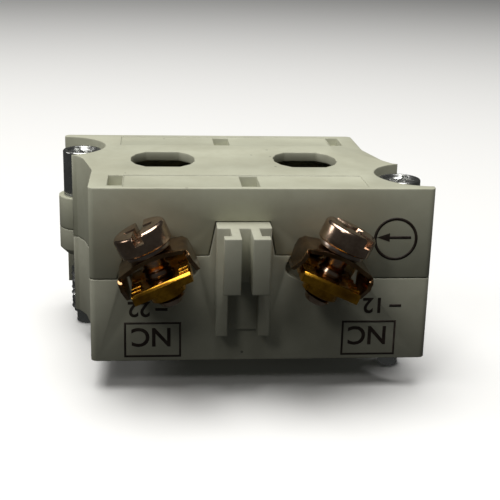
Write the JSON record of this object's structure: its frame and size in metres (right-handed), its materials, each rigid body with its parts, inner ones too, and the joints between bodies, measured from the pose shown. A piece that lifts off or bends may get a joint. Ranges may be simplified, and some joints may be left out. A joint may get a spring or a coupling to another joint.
{
  "type": "push button contact block",
  "caption": "Stackable normally closed contact block of an industrial push button, with plungers, saddle screw terminals, a side rail and captive mounting screws.",
  "frame": {"origin": "centre of the flat mounting face on the actuator side", "axes": "+Z from the mounting face to the rear face, +X along the terminal faces, front terminals towards -Y"},
  "size_m": [0.048, 0.0482, 0.026],
  "materials": {
    "base_plastic": "moulded warm grey thermoset plastic, satin",
    "cover_plastic": "moulded warm grey plastic, satin",
    "plunger_plastic": "black moulded plastic",
    "terminal_brass": "stamped brass, lacquered gold tone",
    "bridge_brass": "stamped brass",
    "contact_silver": "silver contact tip",
    "spring_steel": "drawn spring wire",
    "saddle_nickel": "nickel plated sheet, bronze reflections",
    "terminal_screw_nickel": "nickel plated steel, warm tone",
    "mounting_screw_zinc": "bright zinc plated steel"
  },
  "bodies": {
    "housing": {"base_housing": "base_plastic", "cover_housing": "cover_plastic", "front_left_terminal": "terminal_brass", "front_right_terminal": "terminal_brass", "back_left_terminal": "terminal_brass", "back_right_terminal": "terminal_brass", "front_left_contact_tip": "contact_silver", "front_right_contact_tip": "contact_silver", "back_left_contact_tip": "contact_silver", "back_right_contact_tip": "contact_silver"},
    "left_plunger": {"left_plunger": "plunger_plastic", "left_contact_bridge": "bridge_brass", "left_bridge_tips": "contact_silver", "left_contact_spring": "spring_steel", "left_return_spring": "spring_steel"},
    "right_plunger": {"right_plunger": "plunger_plastic", "right_contact_bridge": "bridge_brass", "right_bridge_tips": "contact_silver", "right_contact_spring": "spring_steel", "right_return_spring": "spring_steel"},
    "front_left_clamp": {"front_left_saddle": "saddle_nickel", "front_left_spring_washer": "terminal_screw_nickel"},
    "front_left_screw": {"front_left_terminal_screw": "terminal_screw_nickel"},
    "front_right_clamp": {"front_right_saddle": "saddle_nickel", "front_right_spring_washer": "terminal_screw_nickel"},
    "front_right_screw": {"front_right_terminal_screw": "terminal_screw_nickel"},
    "back_left_clamp": {"back_left_saddle": "saddle_nickel", "back_left_spring_washer": "terminal_screw_nickel"},
    "back_left_screw": {"back_left_terminal_screw": "terminal_screw_nickel"},
    "back_right_clamp": {"back_right_saddle": "saddle_nickel", "back_right_spring_washer": "terminal_screw_nickel"},
    "back_right_screw": {"back_right_terminal_screw": "terminal_screw_nickel"},
    "left_mount_washer": {"left_screw_washer": "mounting_screw_zinc"},
    "left_mount_screw": {"left_mounting_screw": "mounting_screw_zinc"},
    "right_mount_washer": {"right_screw_washer": "mounting_screw_zinc"},
    "right_mount_screw": {"right_mounting_screw": "mounting_screw_zinc"}
  },
  "joints": [
    {"name": "left_plunger_slide", "type": "slide", "parent": "housing", "child": "left_plunger", "axis": [0, 0, 1], "range_m": [0, 0.0035], "stiffness_N_per_m": 400, "springref_m": -0.004, "deforming": ["left_return_spring"]},
    {"name": "right_plunger_slide", "type": "slide", "parent": "housing", "child": "right_plunger", "axis": [0, 0, 1], "range_m": [0, 0.0035], "stiffness_N_per_m": 400, "springref_m": -0.004, "deforming": ["right_return_spring"]},
    {"name": "front_left_clamp_slide", "type": "slide", "parent": "housing", "child": "front_left_clamp", "axis": [-0.4147, 0, 0.91], "range_m": [-0.0016, 0.0012]},
    {"name": "front_left_screw_turn", "type": "hinge", "parent": "front_left_clamp", "child": "front_left_screw", "pos_m": [-0.00975, -0.0203, 0.0121], "axis": [-0.4147, 0, 0.91], "range_deg": [-961, 721]},
    {"name": "front_right_clamp_slide", "type": "slide", "parent": "housing", "child": "front_right_clamp", "axis": [0.4147, 0, 0.91], "range_m": [-0.0016, 0.0012]},
    {"name": "front_right_screw_turn", "type": "hinge", "parent": "front_right_clamp", "child": "front_right_screw", "pos_m": [0.00975, -0.0203, 0.0121], "axis": [0.4147, 0, 0.91], "range_deg": [-961, 721]},
    {"name": "back_left_clamp_slide", "type": "slide", "parent": "housing", "child": "back_left_clamp", "axis": [-0.4147, 0, 0.91], "range_m": [-0.0016, 0.0012]},
    {"name": "back_left_screw_turn", "type": "hinge", "parent": "back_left_clamp", "child": "back_left_screw", "pos_m": [-0.00975, 0.0203, 0.0121], "axis": [-0.4147, 0, 0.91], "range_deg": [-961, 721]},
    {"name": "back_right_clamp_slide", "type": "slide", "parent": "housing", "child": "back_right_clamp", "axis": [0.4147, 0, 0.91], "range_m": [-0.0016, 0.0012]},
    {"name": "back_right_screw_turn", "type": "hinge", "parent": "back_right_clamp", "child": "back_right_screw", "pos_m": [0.00975, 0.0203, 0.0121], "axis": [0.4147, 0, 0.91], "range_deg": [-961, 721]},
    {"name": "left_mount_lift", "type": "slide", "parent": "housing", "child": "left_mount_washer", "axis": [0, 0, 1], "range_m": [0, 0.0018]},
    {"name": "left_mount_turn", "type": "hinge", "parent": "left_mount_washer", "child": "left_mount_screw", "pos_m": [-0.0206, 0.0084, 0.0182], "axis": [0, 0, 1], "continuous": true},
    {"name": "right_mount_lift", "type": "slide", "parent": "housing", "child": "right_mount_washer", "axis": [0, 0, 1], "range_m": [0, 0.0018]},
    {"name": "right_mount_turn", "type": "hinge", "parent": "right_mount_washer", "child": "right_mount_screw", "pos_m": [0.0206, -0.0084, 0.0182], "axis": [0, 0, 1], "continuous": true}
  ],
  "couplings": [
    {"joint": "front_left_screw_turn", "follows": "front_left_clamp_slide", "rad_per_m": 10472},
    {"joint": "front_right_screw_turn", "follows": "front_right_clamp_slide", "rad_per_m": 10472},
    {"joint": "back_left_screw_turn", "follows": "back_left_clamp_slide", "rad_per_m": 10472},
    {"joint": "back_right_screw_turn", "follows": "back_right_clamp_slide", "rad_per_m": 10472}
  ]
}
